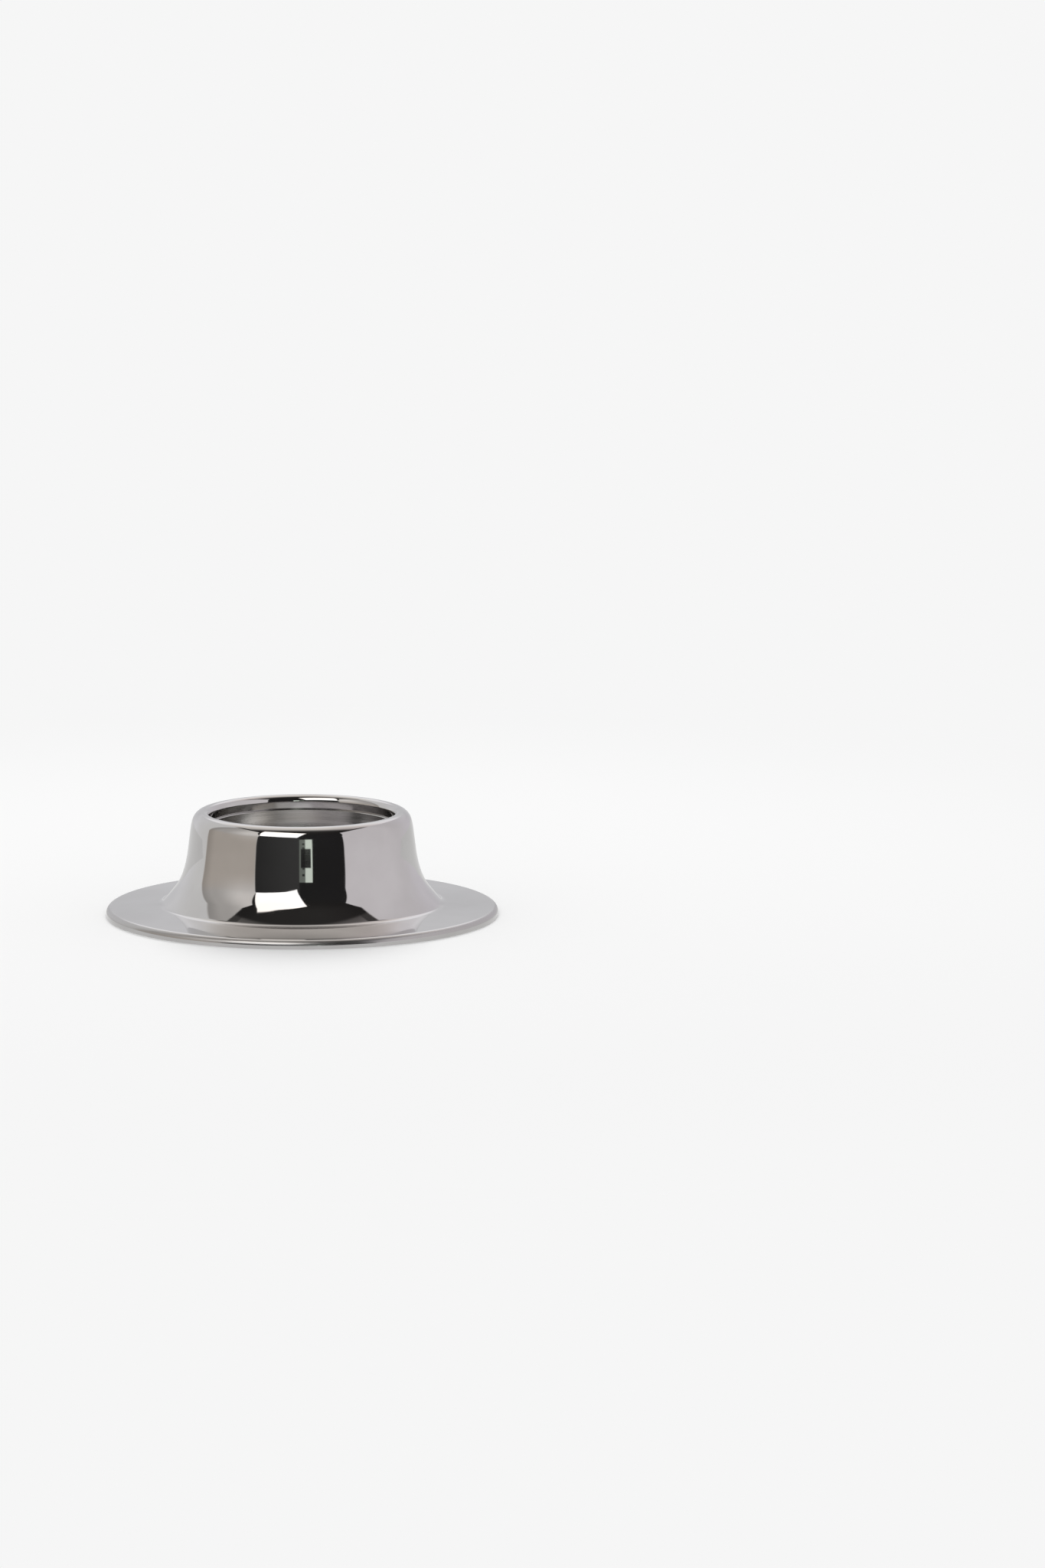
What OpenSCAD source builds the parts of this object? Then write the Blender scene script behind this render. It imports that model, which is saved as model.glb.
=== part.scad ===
// Egg cup with a wide saucer, pressed from polished steel sheet.
// Two pressings: an outer shell, which is the saucer, the collar and the rolled rim in one sheet,
// and a bowl that hangs inside it from a lapped seam under the lip.
// The origin is at the middle of the ring that the cup stands on, and Z points up.
// Each section is drawn as the path of one sheet: straight runs, each followed by a bend.

/* [Sheet] */
// Thickness of the steel sheet
sheet_t = 0.8; // [0.6:0.05:1]

/* [Saucer] */
// Outer diameter of the saucer
saucer_d = 87; // [82:1:110]
// Height of the upright outer edge that the cup stands on
edge_h = 0.7; // [0.3:0.05:2]
// Radius of the bend from the edge to the brim, on the outside
edge_bend_r = 1.3; // [1.1:0.1:2.5]
// Rise of the brim towards the middle, in degrees
brim_slope = 3.3; // [1:0.1:6]

/* [Collar] */
// Radius of the crease where the brim meets the fillet
crease_r = 2; // [1:0.1:4]
// Rise of the wall just above the crease, in degrees
crease_slope = 46.4; // [42:0.2:50]
// Radius of the wall's spreading foot above the crease, which is almost straight
spread_r = 42; // [25:1:60]
// Rise of the wall where the foot passes into the fillet, in degrees
spread_slope = 51.4; // [51:0.2:56]
// Radius of the hollow fillet between the foot and the collar
fillet_r = 11.6; // [9:0.2:15]
// Lean of the wall where the fillet passes into the flare, in degrees from upright
fillet_lean = 18; // [12:1:25]
// Radius of the gentle flare above the fillet
flare_r = 27; // [20:1:40]
// Lean of the straight collar, in degrees from upright
collar_lean = 7.2; // [4:0.2:10]
// Radius of the gentle swell above the collar, which turns inwards
swell_r = 16.5; // [12:0.5:25]
// Lean of the wall where the swell passes into the shoulder, in degrees from upright
swell_lean = 14.4; // [11:0.2:18]

/* [Rim] */
// Height of the rim above the table
cup_h = 23.3; // [20:0.1:35]
// Diameter of the circle along the top of the rim
rim_d = 43.9; // [38:0.1:46]
// Radius of the shoulder
shoulder_r = 3.1; // [2:0.1:4.5]
// Lean of the wall where the shoulder passes into the crest, in degrees from upright
shoulder_lean = 49; // [30:1:70]
// Radius of the crest, which turns over to the top of the rim
crest_r = 2.2; // [1.3:0.1:2.8]
// Radius of the lip that turns down into the bowl, on the outside
lip_r = 1.5; // [1.2:0.05:2.4]
// Length of the straight skirt under the lip
skirt_h = 1.6; // [1.4:0.1:2.2]

/* [Bowl] */
// Depth of the bowl below the rim
bowl_depth = 18.5; // [18:0.5:19.5]
// Radius of the dished floor of the bowl
crown_r = 34; // [30:1:45]
// Radius of the turn from the wall to the floor
knuckle_r = 11; // [8:0.5:11]
// How far the bowl's neck reaches up around the skirt
lap_h = 1.4; // [0.8:0.1:1.5]
// Gap between the neck and the skirt
lap_gap = 0.05; // [0.02:0.01:0.1]
// Height over which the bowl's wall steps in under the skirt
step_h = 1.4; // [1:0.1:1.8]
// Size of the small bevels that leave a fine groove at the seam
seam_bevel = 0.25; // [0.1:0.05:0.4]

/* [Hidden] */
$fn = 180;

// Headings along the path, and the largest angle between two points of a bend
right_angle = 90;
up = right_angle;
down = -right_angle;
bend_step = 4;

saucer_r = saucer_d / 2;
rim_r = rim_d / 2;
bore_r = rim_r - lip_r;

// Lean of the brim and of the foot's two ends, from upright as the collar's
brim_lean = right_angle - brim_slope;
crease_lean = right_angle - crease_slope;
spread_lean = right_angle - spread_slope;

// How far in, and how far up, a bend from one lean to another takes the outer surface
function bend_in(radius, from, to) = radius * abs(cos(from) - cos(to));
function bend_up(radius, from, to) = radius * abs(sin(to) - sin(from));

bends_in = bend_in(edge_bend_r, 0, brim_lean)
    + bend_in(crease_r, brim_lean, crease_lean)
    + bend_in(spread_r, crease_lean, spread_lean)
    + bend_in(fillet_r, spread_lean, fillet_lean)
    + bend_in(flare_r, fillet_lean, collar_lean)
    + bend_in(swell_r, collar_lean, swell_lean)
    + bend_in(shoulder_r, swell_lean, shoulder_lean)
    + bend_in(crest_r, shoulder_lean, right_angle);
bends_up = bend_up(edge_bend_r, 0, brim_lean)
    + bend_up(crease_r, brim_lean, crease_lean)
    + bend_up(spread_r, crease_lean, spread_lean)
    + bend_up(fillet_r, spread_lean, fillet_lean)
    + bend_up(flare_r, fillet_lean, collar_lean)
    + bend_up(swell_r, collar_lean, swell_lean)
    + bend_up(shoulder_r, swell_lean, shoulder_lean)
    + bend_up(crest_r, shoulder_lean, right_angle);

// What is left for the two straight runs, the brim and the collar, which close the path
left_in = saucer_r - rim_r - bends_in;
left_up = cup_h - edge_h - bends_up;
closing = cos(brim_slope) * cos(collar_lean) - sin(brim_slope) * sin(collar_lean);
brim_run = (left_in * cos(collar_lean) - left_up * sin(collar_lean)) / closing;
collar_run = (left_up * cos(brim_slope) - left_in * sin(brim_slope)) / closing;

// The seam, and the dished floor of the bowl
seam_z = cup_h - lip_r - skirt_h;
neck_r = bore_r + sheet_t + lap_gap;
step_z = seam_z - step_h;
crown_in = crown_r - knuckle_r;
wall_in = bore_r - knuckle_r;
dish_h = crown_r - sqrt(crown_in * crown_in - wall_in * wall_in);
wall_end_z = cup_h - bowl_depth + dish_h;
crown_turn = asin(wall_in / crown_in);
knuckle_turn = right_angle - crown_turn;

// Each step of a path is the length of a straight run, and the radius and turn of the bend after
// it. A turn is positive to the left. The sheet lies to the left of the path, and the radius is
// that of the path itself.
shell_path = [
    [edge_h, edge_bend_r, brim_lean],
    [brim_run, crease_r, crease_lean - brim_lean],
    [0, spread_r, spread_lean - crease_lean],
    [0, fillet_r, fillet_lean - spread_lean],
    [0, flare_r, collar_lean - fillet_lean],
    [collar_run, swell_r, swell_lean - collar_lean],
    [0, shoulder_r, shoulder_lean - swell_lean],
    [0, crest_r, right_angle - shoulder_lean],
    [0, lip_r, right_angle],
    [skirt_h - seam_bevel, 0, 0]
];
bowl_path = [
    [step_z - wall_end_z, knuckle_r, -knuckle_turn],
    [0, crown_r, -crown_turn]
];

// Unit vector at an angle
function pointing(angle) = [cos(angle), sin(angle)];

// Points along a path, moved to its left by shift, without the first one
function traced(path, shift, from, heading, i = 0) =
    i == len(path) ? [] :
    let (
        radius = path[i][1],
        turn = path[i][2],
        way = sign(turn),
        bend_from = from + path[i][0] * pointing(heading),
        middle = bend_from + way * radius * pointing(heading + right_angle),
        spoke = heading - way * right_angle,
        parts = ceil(abs(turn) / bend_step),
        run_end = path[i][0] > 0 ? [bend_from + shift * pointing(heading + right_angle)] : [],
        bend = [for (k = [1:1:parts])
            middle + (radius - way * shift) * pointing(spoke + turn * k / parts)],
        next_from = middle + radius * pointing(spoke + turn)
    )
    concat(run_end, bend, traced(path, shift, next_from, heading + turn, i + 1));

function reversed(points) = [for (i = [len(points) - 1:-1:0]) points[i]];

// The shell's sheet from the foot to the end of the skirt, with a bevel at the skirt's inner edge
module shell_section() {
    foot = [saucer_r, 0];
    polygon(concat(
        [foot],
        traced(shell_path, 0, foot, up),
        [[bore_r + seam_bevel, seam_z], [bore_r + sheet_t, seam_z]],
        reversed(traced(shell_path, sheet_t, foot, up)),
        [[saucer_r - sheet_t, 0]]
    ));
}

// Saucer, collar and rolled rim in one pressing
module saucer_shell() {
    color("silver") rotate_extrude() shell_section();
}

// The bowl's sheet: a neck that laps the skirt, a ledge that the skirt sits on, a step in, and
// the wall and floor, drawn along the inner surface
module bowl_section() {
    wall_top = [bore_r, step_z];
    inner = traced(bowl_path, 0, wall_top, down);
    outer = traced(bowl_path, sheet_t, wall_top, down);
    points = concat(
        [[neck_r, seam_z + lap_h],
         [neck_r, seam_z],
         [bore_r + seam_bevel, seam_z],
         [bore_r, seam_z - seam_bevel],
         wall_top],
        inner,
        reversed(outer),
        [[bore_r + sheet_t, step_z],
         [neck_r + sheet_t, seam_z - sheet_t / 2],
         [neck_r + sheet_t, seam_z + lap_h]]
    );
    // The floor ends on the axis, and no point may lie past it
    polygon([for (p = points) [max(p[0], 0), p[1]]]);
}

// Separate drawn bowl, hung in the shell
module egg_bowl() {
    color("gainsboro") rotate_extrude() bowl_section();
}

saucer_shell();
egg_bowl();
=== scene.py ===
import math

import bpy
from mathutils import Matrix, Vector


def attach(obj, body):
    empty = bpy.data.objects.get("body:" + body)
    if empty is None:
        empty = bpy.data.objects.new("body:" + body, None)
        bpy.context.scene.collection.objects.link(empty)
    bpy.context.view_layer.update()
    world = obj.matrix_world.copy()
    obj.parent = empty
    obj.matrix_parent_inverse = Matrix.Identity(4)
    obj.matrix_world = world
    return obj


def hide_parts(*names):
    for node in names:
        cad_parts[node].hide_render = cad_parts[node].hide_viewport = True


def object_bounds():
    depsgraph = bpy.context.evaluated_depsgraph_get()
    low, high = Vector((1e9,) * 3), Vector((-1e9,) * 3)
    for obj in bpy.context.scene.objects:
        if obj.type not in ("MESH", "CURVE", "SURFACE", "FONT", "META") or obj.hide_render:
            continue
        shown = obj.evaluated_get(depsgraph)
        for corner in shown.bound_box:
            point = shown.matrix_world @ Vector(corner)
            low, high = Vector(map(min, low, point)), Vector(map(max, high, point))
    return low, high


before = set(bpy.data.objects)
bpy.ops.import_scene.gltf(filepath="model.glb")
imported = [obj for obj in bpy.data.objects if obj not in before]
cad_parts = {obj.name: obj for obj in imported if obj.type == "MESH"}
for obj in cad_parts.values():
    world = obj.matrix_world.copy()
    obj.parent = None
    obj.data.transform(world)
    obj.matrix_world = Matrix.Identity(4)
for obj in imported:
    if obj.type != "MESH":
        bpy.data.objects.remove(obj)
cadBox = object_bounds()
mm = 0.001
white = (1, 1, 1, 1)
print("model loaded")


# A socket that can stand in a sum, and the one place where nodes are added
class Wire:
    def __init__(self, tree, socket=None):
        self.tree = tree
        self.socket = socket

    def node(self, kind, settings=None, inputs=None, output=0):
        made = self.tree.nodes.new(kind)
        for name, value in (settings or {}).items():
            setattr(made, name, value)
        for key, value in (inputs or {}).items():
            if isinstance(value, Wire):
                self.tree.links.new(value.socket, made.inputs[key])
            else:
                made.inputs[key].default_value = value
        return Wire(self.tree, made.outputs[output])

    def take(self, output):
        return Wire(self.tree, self.socket.node.outputs[output])

    def math(self, operation, *others):
        inputs = {i: value for i, value in enumerate((self,) + others)}
        return self.node("ShaderNodeMath", {"operation": operation}, inputs)

    def swapped(self, operation, other):
        return self.node("ShaderNodeMath", {"operation": operation}, {0: other, 1: self})

    def __add__(self, other):
        return self.math("ADD", other)

    def __radd__(self, other):
        return self.math("ADD", other)

    def __sub__(self, other):
        return self.math("SUBTRACT", other)

    def __rsub__(self, other):
        return self.swapped("SUBTRACT", other)

    def __mul__(self, other):
        return self.math("MULTIPLY", other)

    def __rmul__(self, other):
        return self.math("MULTIPLY", other)

    def __truediv__(self, other):
        return self.math("DIVIDE", other)

    def __rtruediv__(self, other):
        return self.swapped("DIVIDE", other)

    # 0 below low, 1 above high, eased between
    def rise(self, low, high):
        limits = {"Value": self, "From Min": low, "From Max": high}
        return self.node("ShaderNodeMapRange", {"interpolation_type": "SMOOTHSTEP"}, limits)

    # 1 between low and high, eased over soft at both ends
    def band(self, low, high, soft):
        return self.rise(low - soft, low + soft) * (1 - self.rise(high - soft, high + soft))


def newMaterial(name):
    material = bpy.data.materials.new(name)
    material.use_nodes = True
    tree = material.node_tree
    return material, tree.nodes["Principled BSDF"], Wire(tree)


def connect(wire, shader, socketName):
    wire.tree.links.new(wire.socket, shader.inputs[socketName])


# A mask moves base to value
def over(base, mask, value):
    return base + mask * (value - base)


# The same for two colours: the Mix node takes them at its sockets 6 and 7, and gives output 2
def tint(wire, mask, first, second):
    first, second = [c if isinstance(c, Wire) else (*c, 1) for c in (first, second)]
    inputs = {"Factor": mask, 6: first, 7: second}
    return wire.node("ShaderNodeMix", {"data_type": "RGBA"}, inputs, 2)


# Noise of a kind, which is its scale and its detail
def noise(wire, place, kind):
    scale, detail = kind
    inputs = {"Vector": place, "Scale": scale, "Detail": detail}
    return wire.node("ShaderNodeTexNoise", None, inputs, "Fac")


# Noise drawn out round the axis, as turning and polishing leave it
def ringNoise(wire, place, kind, stretch):
    axes = wire.node("ShaderNodeSeparateXYZ", None, {0: place})
    x, y, z = [axes.take(name) / mm for name in "XYZ"]
    radius = (x * x + y * y).math("SQRT")
    turn = y.math("ARCTAN2", x) * stretch
    around = wire.node("ShaderNodeCombineXYZ", None, {"X": radius, "Y": z, "Z": turn})
    return noise(wire, around, kind)


# Gives a shader the fine relief of its look
def bumped(wire, shader, look, height):
    inputs = {"Strength": look["bump"], "Distance": look["bumpDepth"], "Height": height}
    connect(wire.node("ShaderNodeBump", None, inputs), shader, "Normal")


# Unit vector at an angle in degrees
def pointing(angle):
    turned = math.radians(angle)
    return Vector((math.cos(turned), math.sin(turned)))


# Points of a sheet's path. Each step is a straight run, and the radius and turn of the bend after
# it. A turn is positive to the left, and the points are moved to the left by shift.
def traced(steps, shift, start, heading, bendStep, runStep):
    points = []
    here = Vector(start)
    for run, radius, turn in steps:
        along = pointing(heading)
        side = Vector((-along.y, along.x))
        runParts = max(1, math.ceil(run / runStep)) if run > 0 else 0
        for k in range(runParts):
            points.append(here + along * run * (k + 1) / runParts + side * shift)
        here = here + along * run
        way = 1 if turn > 0 else -1
        middle = here + side * way * radius
        spoke = heading - way * 90
        bendParts = math.ceil(abs(turn) / bendStep)
        for k in range(bendParts):
            turned = spoke + turn * (k + 1) / bendParts
            points.append(middle + (radius - way * shift) * pointing(turned))
        here = middle + radius * pointing(spoke + turn) if turn else here
        heading += turn
    return points


# Quarter round at a cut edge
def rounded(middle, radius, fromAngle, toAngle, parts=4):
    angles = [fromAngle + (toAngle - fromAngle) * k / parts for k in range(parts + 1)]
    return [Vector(middle) + radius * pointing(angle) for angle in angles]


# Points closer than doubles are joined, and edges that turn by more than sharpFrom degrees stay
# sharp
latheCare = {"doubles": 0.001 * mm, "sharpFrom": 35}


# Turns a closed section (radius, height) into a solid, with the share of satin at each point, which
# also sets where painted shade darkens the steel
def latheTree():
    tree = bpy.data.node_groups.new("sheetLathe", "GeometryNodeTree")
    sockets = [("Section", "NodeSocketGeometry"), ("Points", "NodeSocketInt"),
               ("Segments", "NodeSocketInt"), ("Finish", "NodeSocketMaterial")]
    for name, kind in sockets:
        tree.interface.new_socket(name, in_out="INPUT", socket_type=kind)
    tree.interface.new_socket("Solid", in_out="OUTPUT", socket_type="NodeSocketGeometry")
    start = Wire(tree).node("NodeGroupInput")
    section, points, segments, finish = [start.take(name) for name, kind in sockets]
    counts = {"Vertices X": segments + 1, "Vertices Y": points}
    sheet = start.node("GeometryNodeMeshGrid", None, counts)
    index = start.node("GeometryNodeInputIndex")
    along = index.math("MODULO", points)
    angle = (index / points).math("FLOOR") * (2 * math.pi) / segments
    place = start.node("GeometryNodeInputPosition")
    picked = start.node("GeometryNodeSampleIndex", {"data_type": "FLOAT_VECTOR"},
                        {"Geometry": section, "Value": place, "Index": along})
    satinAndShade = start.node("GeometryNodeInputNamedAttribute", {"data_type": "FLOAT"}, {"Name": "satinAndShade"})
    pickedSatinAndShade = start.node("GeometryNodeSampleIndex", {"data_type": "FLOAT"},
                             {"Geometry": section, "Value": satinAndShade, "Index": along})
    parts = start.node("ShaderNodeSeparateXYZ", None, {0: picked})
    radius, height = parts.take("X"), parts.take("Z")
    turned = start.node("ShaderNodeCombineXYZ", None, {
        "X": radius * angle.math("COSINE"), "Y": radius * angle.math("SINE"), "Z": height})
    solid = start.node("GeometryNodeSetPosition", None, {"Geometry": sheet, "Position": turned})
    solid = start.node("GeometryNodeStoreNamedAttribute", {"data_type": "FLOAT", "domain": "POINT"},
                       {"Geometry": solid, "Name": "satinAndShade", "Value": pickedSatinAndShade})
    solid = start.node("GeometryNodeMergeByDistance", None,
                       {"Geometry": solid, "Distance": latheCare["doubles"]})
    solid = start.node("GeometryNodeSetShadeSmooth", {"domain": "FACE"},
                       {"Geometry": solid, "Shade Smooth": True})
    edgeAngle = start.node("GeometryNodeInputMeshEdgeAngle")
    corner = edgeAngle.math("GREATER_THAN", math.radians(latheCare["sharpFrom"]))
    solid = start.node("GeometryNodeSetShadeSmooth", {"domain": "EDGE"},
                       {"Geometry": solid, "Selection": corner, "Shade Smooth": False})
    solid = start.node("GeometryNodeRealizeInstances", None, {"Geometry": solid})
    solid = start.node("GeometryNodeSetMaterial", None, {"Geometry": solid, "Material": finish})
    end = tree.nodes.new("NodeGroupOutput")
    tree.links.new(solid.socket, end.inputs["Solid"])
    return tree


sheetLathe = latheTree()


# The first point comes again at the end, so that the section closes when doubles are merged
def lathed(name, section, satinAndShade, finish, segments):
    mesh = bpy.data.meshes.new(name + "Section")
    points = [(p.x, 0, p.y) for p in section + section[:1]]
    count = len(points)
    mesh.from_pydata(points, [(i, i + 1) for i in range(count - 1)], [])
    mesh.attributes.new("satinAndShade", "FLOAT", "POINT").data.foreach_set("value", satinAndShade + satinAndShade[:1])
    drawn = bpy.data.objects.new(name + "Section", mesh)
    bpy.context.scene.collection.objects.link(drawn)
    modifier = drawn.modifiers.new("lathe", "NODES")
    modifier.node_group = sheetLathe
    given = {"Points": count, "Segments": segments, "Finish": finish}
    for item in sheetLathe.interface.items_tree:
        if item.in_out == "INPUT" and item.name in given:
            modifier[item.identifier] = given[item.name]
    bpy.context.view_layer.update()
    evaluated = drawn.evaluated_get(bpy.context.evaluated_depsgraph_get())
    solid = bpy.data.meshes.new_from_object(evaluated)
    solid.name = name
    piece = bpy.data.objects.new(name, solid)
    bpy.context.scene.collection.objects.link(piece)
    bpy.data.objects.remove(drawn)
    return piece


# Polished steel, spun on a lathe: rings from polishing, faint smudges, satin where nobody polishes.
# Where it is satin the colour is also darkened: painted shade in place of the dark reflection at
# the edge's bend, and on the hidden side
steelLook = {
    "light": (0.565, 0.555, 0.548), "dark": (0.515, 0.503, 0.495), "lightFrom": (0.3, 0.7),
    "roughness": 0.035, "smudge": 0.03, "smudgeFrom": (0.48, 0.72), "smudgeLeast": 0.5,
    "satinRoughness": 0.6, "paintedSatinShade": 0.35, "satinHeight": 2,
    "rings": (9, 3), "ringStretch": 0.6, "ringHeight": 0.5, "cloud": (70, 4), "wipe": (320, 5),
    "bump": 0.05, "bumpDepth": 0.02 * mm,
}


def polishedSteel():
    material, shader, wire = newMaterial("polishedSteel")
    look = steelLook
    place = wire.node("ShaderNodeTexCoord", None, None, "Object")
    satinAndShade = wire.node("ShaderNodeAttribute", {"attribute_name": "satinAndShade"}, None, "Fac")
    rings = ringNoise(wire, place, look["rings"], look["ringStretch"])
    cloud, wipe = noise(wire, place, look["cloud"]), noise(wire, place, look["wipe"])
    smudge = cloud.rise(*look["smudgeFrom"]) * over(look["smudgeLeast"], wipe, 1)
    steel = tint(wire, cloud.rise(*look["lightFrom"]), look["dark"], look["light"])
    # The satin share darkens the colour: painted shade
    paintedShade = [value * (1 - look["paintedSatinShade"]) for value in look["dark"]]
    connect(tint(wire, satinAndShade, steel, paintedShade), shader, "Base Color")
    rough = look["roughness"] + smudge * look["smudge"] + satinAndShade * look["satinRoughness"]
    connect(rough, shader, "Roughness")
    bumped(wire, shader, look, rings * look["ringHeight"] + satinAndShade * wipe * look["satinHeight"])
    shader.inputs["Metallic"].default_value = 1
    return material


# Satin steel of the hung bowl, with the rings that turning it leaves
bowlLook = {
    "light": (0.6, 0.592, 0.582), "dark": (0.52, 0.512, 0.503), "lightFrom": (0.3, 0.7),
    "roughness": 0.2, "ringRoughness": 0.12, "cloudRoughness": 0.1, "noiseMiddle": 0.5,
    "rings": (6, 6), "ringStretch": 0.4, "cloud": (120, 4), "bump": 0.12, "bumpDepth": 0.02 * mm,
}


def satinSteel():
    material, shader, wire = newMaterial("satinSteel")
    look = bowlLook
    place = wire.node("ShaderNodeTexCoord", None, None, "Object")
    rings = ringNoise(wire, place, look["rings"], look["ringStretch"])
    cloud = noise(wire, place, look["cloud"])
    steel = tint(wire, rings.rise(*look["lightFrom"]), look["dark"], look["light"])
    connect(steel, shader, "Base Color")
    rough = look["roughness"] + (rings - look["noiseMiddle"]) * look["ringRoughness"]
    rough = rough + (cloud - look["noiseMiddle"]) * look["cloudRoughness"]
    connect(rough, shader, "Roughness")
    bumped(wire, shader, look, rings)
    shader.inputs["Metallic"].default_value = 1
    return material


# The one pressing that is saucer, collar and rolled rim. Slopes, leans and bend steps are in
# degrees. The bend of the outer edge is satin with painted shade between two heights, up to a depth
# in from the outside; the hidden side is satin with painted shade too.
shellSize = {
    "sheet": 0.8 * mm, "edgeHeight": 0.7 * mm, "edgeBend": 1.3 * mm, "brimSlope": 3.3,
    "crease": 2 * mm, "creaseSlope": 46.4, "spread": 42 * mm, "spreadSlope": 51.4,
    "fillet": 11.6 * mm, "filletLean": 18, "flare": 27 * mm, "collarLean": 7.2,
    "swell": 16.5 * mm, "swellLean": 14.4, "shoulder": 3.1 * mm, "shoulderLean": 49,
    "crest": 2.2 * mm, "rimCircle": 21.95 * mm, "lip": 1.5 * mm, "skirt": 1.6 * mm,
    "seamBevel": 0.25 * mm, "cutRound": 0.12 * mm,
    "bendStep": 2.5, "runStep": 0.4 * mm, "hiddenStep": 7, "hiddenRun": 3.2 * mm, "segments": 256,
    "edgeSatinAndShade": 0.4, "satinAndShadeHeights": (0.91 * mm, 1.88 * mm), "satinAndShadeIn": 0.975 * mm,
    "hiddenSatinAndShade": 0.5,
}
cupHeight = cadBox[1].z
saucerRadius = cadBox[1].x
boreRadius = shellSize["rimCircle"] - shellSize["lip"]
seamHeight = cupHeight - shellSize["lip"] - shellSize["skirt"]


# How far in, and how far up, a bend from one lean to another takes the outer surface
def bendMove(radius, fromLean, toLean):
    a, b = math.radians(fromLean), math.radians(toLean)
    movedIn = radius * abs(math.cos(a) - math.cos(b))
    movedUp = radius * abs(math.sin(b) - math.sin(a))
    return Vector((movedIn, movedUp))


# Runs and bends from the foot to the end of the skirt; the brim and the collar close the path
def shellSteps():
    s = shellSize
    leans = [0, 90 - s["brimSlope"], 90 - s["creaseSlope"], 90 - s["spreadSlope"], s["filletLean"],
             s["collarLean"], s["swellLean"], s["shoulderLean"], 90]
    bends = ("edgeBend", "crease", "spread", "fillet", "flare", "swell", "shoulder", "crest")
    radii = [s[name] for name in bends]
    moved = sum((bendMove(r, a, b) for r, a, b in zip(radii, leans, leans[1:])), Vector((0, 0)))
    leftIn = saucerRadius - s["rimCircle"] - moved.x
    leftUp = cupHeight - s["edgeHeight"] - moved.y
    slope, lean = math.radians(s["brimSlope"]), math.radians(s["collarLean"])
    brimRun = (leftIn * math.cos(lean) - leftUp * math.sin(lean)) / math.cos(slope + lean)
    collarRun = (leftUp * math.cos(slope) - leftIn * math.sin(slope)) / math.cos(slope + lean)
    runs = [s["edgeHeight"] - s["cutRound"], brimRun, 0, 0, 0, collarRun, 0, 0]
    turns = [b - a for a, b in zip(leans, leans[1:])]
    steps = list(zip(runs, radii, turns))
    return steps + [(0, s["lip"], 90), (s["skirt"] - s["seamBevel"], 0, 0)]


def saucerShell():
    s = shellSize
    steps = shellSteps()
    cut = s["cutRound"]
    foot = Vector((saucerRadius, cut))
    outside = traced(steps, 0, foot, 90, s["bendStep"], s["runStep"])
    inside = traced(steps, s["sheet"], foot, 90, s["hiddenStep"], s["hiddenRun"])
    footOut = rounded((saucerRadius - cut, cut), cut, -90, 0)
    footIn = rounded((saucerRadius - s["sheet"] + cut, cut), cut, 180, 270)
    skirtEnd = [Vector((boreRadius + s["seamBevel"], seamHeight)),
                Vector((boreRadius + s["sheet"], seamHeight))]
    section = footOut + outside + skirtEnd + inside[::-1] + footIn
    low, high = s["satinAndShadeHeights"]
    # Satin with painted shade on the edge's bend and on the hidden side
    satinAndShade = []
    for i, p in enumerate(section):
        hidden = i >= len(footOut) + len(outside)
        onEdge = low < p.y < high and p.x > saucerRadius - s["satinAndShadeIn"]
        satinAndShade.append(s["hiddenSatinAndShade"] if hidden else s["edgeSatinAndShade"] if onEdge else 0.0)
    return lathed("saucerShell", section, satinAndShade, polishedSteel(), s["segments"])


shell = saucerShell()
print("shell made")

# The drawn bowl inside, hung from the lapped seam
bowlSize = {
    "depth": 18.5 * mm, "crown": 34 * mm, "knuckle": 11 * mm,
    "lap": 1.4 * mm, "lapGap": 0.05 * mm, "step": 1.4 * mm,
    "bendStep": 2.5, "runStep": 0.4 * mm, "hiddenStep": 5, "hiddenRun": 1.6 * mm, "segments": 192,
}


def eggBowl():
    b = bowlSize
    sheet, bevel = shellSize["sheet"], shellSize["seamBevel"]
    neck = boreRadius + sheet + b["lapGap"]
    stepHeight = seamHeight - b["step"]
    crownIn = b["crown"] - b["knuckle"]
    wallIn = boreRadius - b["knuckle"]
    dish = b["crown"] - math.sqrt(crownIn ** 2 - wallIn ** 2)
    wallEnd = cupHeight - b["depth"] + dish
    crownTurn = math.degrees(math.asin(wallIn / crownIn))
    steps = [(stepHeight - wallEnd, b["knuckle"], crownTurn - 90), (0, b["crown"], -crownTurn)]
    wallTop = Vector((boreRadius, stepHeight))
    inner = traced(steps, 0, wallTop, -90, b["bendStep"], b["runStep"])
    outer = traced(steps, sheet, wallTop, -90, b["hiddenStep"], b["hiddenRun"])
    top = [(neck, seamHeight + b["lap"]), (neck, seamHeight), (boreRadius + bevel, seamHeight),
           (boreRadius, seamHeight - bevel), (boreRadius, stepHeight)]
    back = [(boreRadius + sheet, stepHeight), (neck + sheet, seamHeight - sheet / 2),
            (neck + sheet, seamHeight + b["lap"])]
    section = [Vector(p) for p in top] + inner + outer[::-1] + [Vector(p) for p in back]
    section = [Vector((max(p.x, 0), p.y)) for p in section]
    return lathed("eggBowl", section, [0.0] * len(section), satinSteel(), b["segments"])


bowl = eggBowl()
print("bowl made")

# Each piece with the node that it stands for and the slot of its finish
pieces = ((shell, "saucer_shell", "shell_steel"), (bowl, "egg_bowl", "bowl_steel"))
for piece, node, slotName in pieces:
    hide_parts(node)
    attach(piece, "root")

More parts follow.
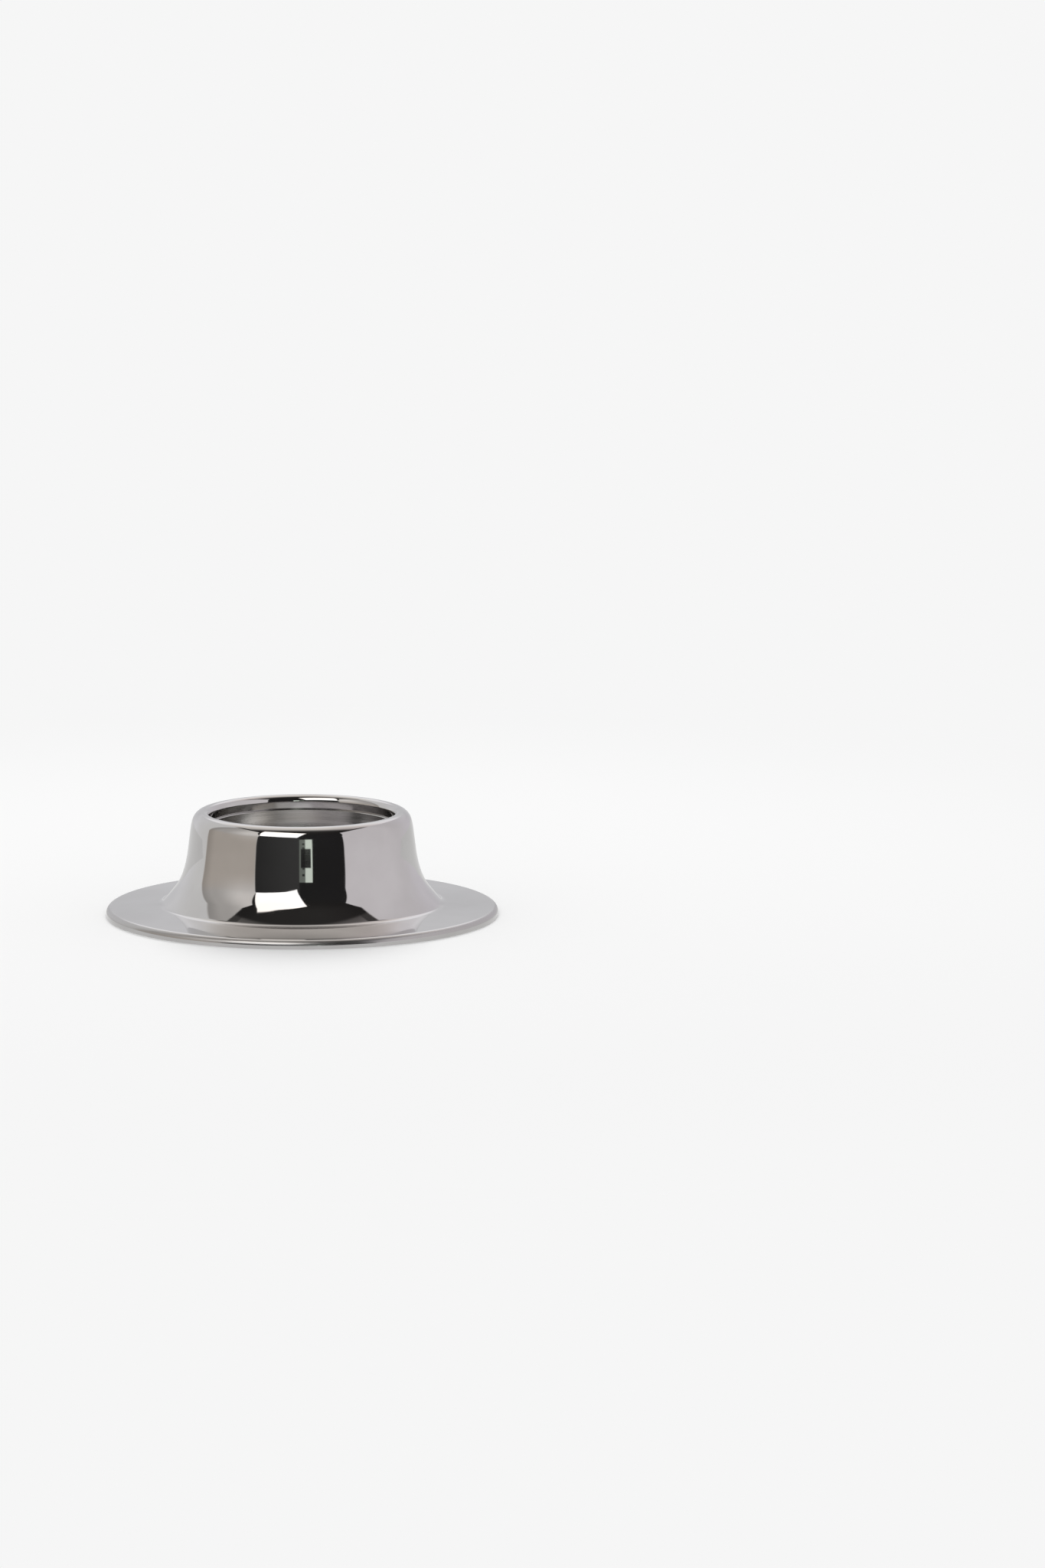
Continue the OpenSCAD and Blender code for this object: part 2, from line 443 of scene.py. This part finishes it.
# Room round the cup, by direction: what the polished steel mirrors. A dark front and ceiling, pale
# screens at the sides with a dark rail on top, a softbox, a window, and pale paper behind.
# Angles are in degrees, and azimuth 0 is the viewer's side. A share is how far a direction goes
# sideways or back while it rises by one. Pairs give where a thing or a change starts and ends.
# Each edge of the front has its azimuth, its lean and the height above which it leans. The back
# edge of the ceiling lies at the share darkBack in the middle, and darkBow bends it back at the
# sides. Warm, rose and cool are shifts of red, green and blue.
room = {
    "paper": 0.922, "ambient": 0.66,
    "back": 0.67, "backLeft": 0.87, "backRight": 0.79, "backFrom": (140, 172),
    "backRise": 0.09, "backUp": (10, 16), "middleSoft": (-0.1, 0.1),
    "screen": 0.86, "screenEnd": (100, 125), "screenSoft": (-0.01, 0.02), "leastRise": 0.001,
    "panel": 0.43, "panelRise": 0.13, "panelFade": 14, "panelSides": (-112, -46.3),
    "panelSoft": 1.2, "panelGlow": 0.38, "glowAcross": (-95, -60), "glowUp": (5, 35),
    "topLow": 0.12, "topHigh": 0.9, "topReach": 0.5, "topFrom": (0.28, 0.5),
    "topFar": 0.3, "topFarFrom": (0.6, 1.1),
    "dark": 0.022, "haze": 0.036, "hazeAcross": (-75, -2), "hazeEnd": (25, 50),
    "zenithHaze": 0.012, "zenithFrom": (50, 70), "darkFoot": (-4.5, -3.5),
    "rail": 0.07, "railShares": (0.6, 0.7), "railSoft": 0.012,
    "railBack": (0.2, 0.5), "railFoot": (0, 0.1),
    "darkBack": -0.22, "darkBow": 0.38, "darkSoft": (-0.015, 0.03),
    "frontLeft": (-46.3, -0.56, 27), "frontRight": (45.4, 0.28, 21), "frontSoft": 0.7,
    "softbox": 2.05, "softboxSoft": 0.008,
    "softboxCorners": ((-0.641, -0.621, 0.451), (-0.057, -0.915, 0.398),
                       (0.071, -0.525, 0.848), (-0.432, -0.220, 0.875)),
    "warm": (0.05, -0.04, -0.13), "warmPanelEnd": (7, 25), "warmPanelLoss": 0.6,
    "warmTopFrom": (0.6, 0.85), "warmTop": 0.5,
    "rose": (0.005, -0.033, 0), "roseFrom": (0.1, 0.5),
    "cool": (0, 0, 0.03), "coolFrom": (0.5, 0.9),
}
# The glass is dim at the left of brightFrom and bright at its right. A catch has its two heights
# and its softness.
windowLook = {
    "glass": (0.35, 0.39, 0.35), "dim": 0.6, "bright": 2.6, "brightFrom": (4.4, 5.4),
    "sides": (-1.2, 12), "foot": 1, "top": 17, "sill": (4.8, 5.2), "frame": 1.6,
    "sideSoft": 0.35, "topSoft": 0.4, "frameSoft": 0.3,
    "catchSides": (1.8, 4.2), "catchSoft": 0.4, "catchUp": ((9.2, 11.2, 0.4), (5.2, 6, 0.2)),
}


# Degrees round from the viewer's side, positive to the right
def azimuthOf(x, y):
    return x.math("ARCTAN2", y * -1) * math.degrees(1)


# Grey panel at the left, which also shades the table in front of it
def panelMask(azimuth):
    return azimuth.band(*room["panelSides"], room["panelSoft"])


# A direction in all the terms that the room is given in
def aimed(wire):
    direction = wire.node("ShaderNodeTexCoord", None, None, "Generated")
    axes = wire.node("ShaderNodeSeparateXYZ", None, {0: direction})
    x, y, z = [axes.take(name) for name in "XYZ"]
    upper = z.math("MAXIMUM", room["leastRise"])
    sideShare, backShare = x.math("ABSOLUTE") / upper, y / upper
    railTop = room["railShares"][1]
    return {
        "direction": direction, "x": x, "y": y, "z": z,
        "azimuth": azimuthOf(x, y), "elevation": z.math("ARCSINE") * math.degrees(1),
        "sideShare": sideShare, "backShare": backShare,
        # 1 below the rail's top, and the share behind the back edge of the dark ceiling
        "screen": sideShare.rise(*[railTop + soft for soft in room["screenSoft"]]),
        "behind": backShare - room["darkBow"] * sideShare * sideShare - room["darkBack"],
    }


# Pale walls with the panel at the left, a top that grows lighter to the back, and the dark rails
def paleWalls(aim):
    r = room
    azimuth, elevation, y, z = [aim[name] for name in ("azimuth", "elevation", "y", "z")]
    aside = azimuth.math("ABSOLUTE")
    pale = over(r["backLeft"], aim["x"].rise(*r["middleSoft"]), r["backRight"])
    back = r["back"] + elevation.rise(*r["backUp"]) * r["backRise"]
    pale = over(pale, aside.rise(*r["backFrom"]), back)
    edge = r["panelSides"][0]
    panel = r["panel"] + azimuth.rise(edge, edge + r["panelFade"]) * r["panelRise"]
    glow = azimuth.rise(*r["glowAcross"]) * elevation.rise(*r["glowUp"])
    panel = panel + glow * r["panelGlow"]
    walls = over(pale, 1 - aside.rise(*r["screenEnd"]), r["screen"])
    walls = over(walls, panelMask(azimuth), panel)
    top = over(r["topLow"], aim["behind"].rise(0, r["topReach"]), r["topHigh"])
    top = top + aim["behind"].rise(*r["topFarFrom"]) * r["topFar"]
    top = over(top, (1 - z.rise(*r["topFrom"])) * y.rise(*r["middleSoft"]), pale)
    rail = aim["sideShare"].band(*r["railShares"], r["railSoft"]) * z.rise(*r["railFoot"])
    rail = rail * (1 - aim["backShare"].rise(*r["railBack"]))
    return over(over(walls, 1 - aim["screen"], top), rail, r["rail"])


# Dark front between the screens, and dark ceiling above them: where it is, and its tone
def darkFront(aim):
    r = room
    azimuth, elevation = aim["azimuth"], aim["elevation"]
    soft = r["frontSoft"]
    left, right = [start + (elevation - bend).math("MAXIMUM", 0) * lean
                   for start, lean, bend in (r["frontLeft"], r["frontRight"])]
    front = azimuth.rise(left - soft, left + soft) * (1 - azimuth.rise(right - soft, right + soft))
    mask = front.math("MAXIMUM", 1 - aim["screen"]) * (1 - aim["behind"].rise(*r["darkSoft"]))
    haze = azimuth.rise(*r["hazeAcross"]) * (1 - azimuth.rise(r["hazeAcross"][1], 0))
    haze = haze * (1 - elevation.rise(*r["hazeEnd"])) * r["haze"]
    tone = r["dark"] + haze + elevation.rise(*r["zenithFrom"]) * r["zenithHaze"]
    return mask * elevation.rise(*r["darkFoot"]), tone


# Window with its sill, a slim frame and dark catches: the whole pane, and what is lit of it
def windowPane(aim):
    w = windowLook
    azimuth, elevation = aim["azimuth"], aim["elevation"]
    low, high = w["sides"]
    across = azimuth.band(low, high, w["sideSoft"])
    pane = across * elevation.band(w["foot"], w["top"], w["topSoft"])
    inFrame = azimuth.band(low + w["frame"], high - w["frame"], w["frameSoft"])
    sill = inFrame * (1 - elevation.rise(*w["sill"]))
    upper, lower = [elevation.band(*band) for band in w["catchUp"]]
    catches = azimuth.band(*w["catchSides"], w["catchSoft"]) * (upper + lower)
    return pane, pane * (1 - sill) * (1 - catches)


# Inside the four planes through the softbox's sides
def softboxMask(wire, direction):
    corners = [Vector(c) for c in room["softboxCorners"]]
    mask = None
    for a, b in zip(corners, corners[1:] + corners[:1]):
        side = wire.node("ShaderNodeVectorMath", {"operation": "DOT_PRODUCT"},
                         {0: direction, 1: tuple(a.cross(b).normalized())}, "Value")
        inner = side.rise(-room["softboxSoft"], room["softboxSoft"])
        mask = inner if mask is None else mask * inner
    return mask


# Warm on the panel, most of all low down, and a little where the top is high
def warmMask(aim):
    r = room
    onPanel = 1 - aim["elevation"].rise(*r["warmPanelEnd"]) * r["warmPanelLoss"]
    onPanel = panelMask(aim["azimuth"]) * onPanel * aim["screen"]
    return onPanel + (1 - aim["screen"]) * aim["z"].rise(*r["warmTopFrom"]) * r["warmTop"]


# Colour of the room in a direction: one plain tone with slight shifts, and the window's glass
def mirroredRoom(wire):
    r, w = room, windowLook
    aim = aimed(wire)
    mask, tone = darkFront(aim)
    pane, lit = windowPane(aim)
    box = softboxMask(wire, aim["direction"])
    plain = over(paleWalls(aim), mask, tone)
    plain = over(plain, pane, r["dark"])
    plain = over(plain, box, r["softbox"])
    glass = over(w["dim"], aim["azimuth"].rise(*w["brightFrom"]), w["bright"])
    warm = warmMask(aim)
    rose, cool = aim["x"].rise(*r["roseFrom"]), aim["y"].rise(*r["coolFrom"])
    channels = {}
    shifts = zip("XYZ", w["glass"], r["warm"], r["rose"], r["cool"])
    for name, value, warmShift, roseShift, coolShift in shifts:
        tinted = plain * (1 + warm * warmShift + rose * roseShift + cool * coolShift)
        channels[name] = over(tinted, lit * (1 - box), glass * value)
    return wire.node("ShaderNodeCombineXYZ", None, channels)


# Mirrored rays see the room, the camera sees paper, and the rest get a plain pale light
def makeWorld():
    world = bpy.data.worlds.new("paleRoom")
    world.use_nodes = True
    tree = world.node_tree
    tree.nodes.clear()
    wire = Wire(tree)
    rays = wire.node("ShaderNodeLightPath")
    seen = over(room["ambient"], rays.take("Is Camera Ray"), room["paper"])
    plain = wire.node("ShaderNodeBackground", None, {"Color": white, "Strength": seen})
    mirrored = wire.node("ShaderNodeBackground", None, {"Color": mirroredRoom(wire), "Strength": 1})
    glossy = rays.take("Is Glossy Ray")
    mix = wire.node("ShaderNodeMixShader", None, {0: glossy, 1: plain, 2: mirrored})
    end = tree.nodes.new("ShaderNodeOutputWorld")
    tree.links.new(mix.socket, end.inputs["Surface"])
    bpy.context.scene.world = world


makeWorld()

floorLook = {
    "size": 0.64, "colour": (0.9, 0.9, 0.9), "fade": (0.1, 0.3),
    "mirrored": 0.76, "mirroredPanelShade": 0.52, "panelFrom": (0.05, 0.07),
}


# Pale paper that keeps the shadow near the cup, and a greyer tone in the steel's mirror, with the
# grey panel's shade painted on it at the left
def makeFloor():
    f = floorLook
    half = f["size"] / 2
    mesh = bpy.data.meshes.new("floor")
    corners = [(-half, -half, 0), (half, -half, 0), (half, half, 0), (-half, half, 0)]
    mesh.from_pydata(corners, [], [(0, 1, 2, 3)])
    floor = bpy.data.objects.new("floor", mesh)
    bpy.context.scene.collection.objects.link(floor)
    material, shader, wire = newMaterial("palePaper")
    shader.inputs["Base Color"].default_value = (*f["colour"], 1)
    shader.inputs["Roughness"].default_value = 1
    shader.inputs["Specular IOR Level"].default_value = 0
    place = wire.node("ShaderNodeTexCoord", None, None, "Object")
    away = wire.node("ShaderNodeVectorMath", {"operation": "LENGTH"}, {0: place}, "Value")
    paper = wire.node("ShaderNodeEmission", None, {"Color": white, "Strength": room["paper"]})
    lit = Wire(wire.tree, shader.outputs[0])
    seen = wire.node("ShaderNodeMixShader", None, {0: away.rise(*f["fade"]), 1: lit, 2: paper})
    axes = wire.node("ShaderNodeSeparateXYZ", None, {0: place})
    azimuth = azimuthOf(axes.take("X"), axes.take("Y"))
    # Painted shade of the grey panel on the table, seen only in the steel's mirror
    paintedShade = panelMask(azimuth) * away.rise(*f["panelFrom"])
    tone = over(f["mirrored"], paintedShade, f["mirroredPanelShade"])
    mirrored = wire.node("ShaderNodeEmission", None, {"Color": white, "Strength": tone})
    glossy = wire.node("ShaderNodeLightPath").take("Is Glossy Ray")
    mix = wire.node("ShaderNodeMixShader", None, {0: glossy, 1: seen, 2: mirrored})
    end = wire.tree.nodes["Material Output"]
    wire.tree.links.new(mix.socket, end.inputs["Surface"])
    mesh.materials.append(material)


makeFloor()

# A soft key light from behind and above, and a weak fill from the front; no mirror shows them
lamps = {
    "key": {"place": (0.05, 2.4, 1.7), "size": 1.2, "power": 42},
    "fill": {"place": (-0.5, -0.8, 1.6), "size": 1.2, "power": 5},
}


def makeLamp(name, place, size, power):
    data = bpy.data.lights.new(name, "AREA")
    data.shape = "DISK"
    data.size = size
    data.energy = power
    lamp = bpy.data.objects.new(name, data)
    lamp.location = place
    lamp.rotation_euler = Vector(place).to_track_quat("Z", "Y").to_euler()
    lamp.visible_camera = False
    lamp.visible_glossy = False
    bpy.context.scene.collection.objects.link(lamp)


for name, values in lamps.items():
    makeLamp(name, **values)
print("stage made")

# Fitted to the ellipses of the saucer and the rim in the photograph
cameraFit = {
    "place": (0.04895, -1.7119, 0.3112), "pitch": 80.647,
    "lens": 179.67, "sensor": 36, "clip": (0.05, 20),
}


def makeCamera():
    data = bpy.data.cameras.new("camera")
    data.lens = cameraFit["lens"]
    data.sensor_width = cameraFit["sensor"]
    data.sensor_fit = "AUTO"
    data.clip_start, data.clip_end = cameraFit["clip"]
    camera = bpy.data.objects.new("camera", data)
    camera.location = cameraFit["place"]
    camera.rotation_euler = (math.radians(cameraFit["pitch"]), 0, 0)
    bpy.context.scene.collection.objects.link(camera)
    bpy.context.scene.camera = camera


makeCamera()
bpy.context.scene.view_settings.view_transform = "Standard"
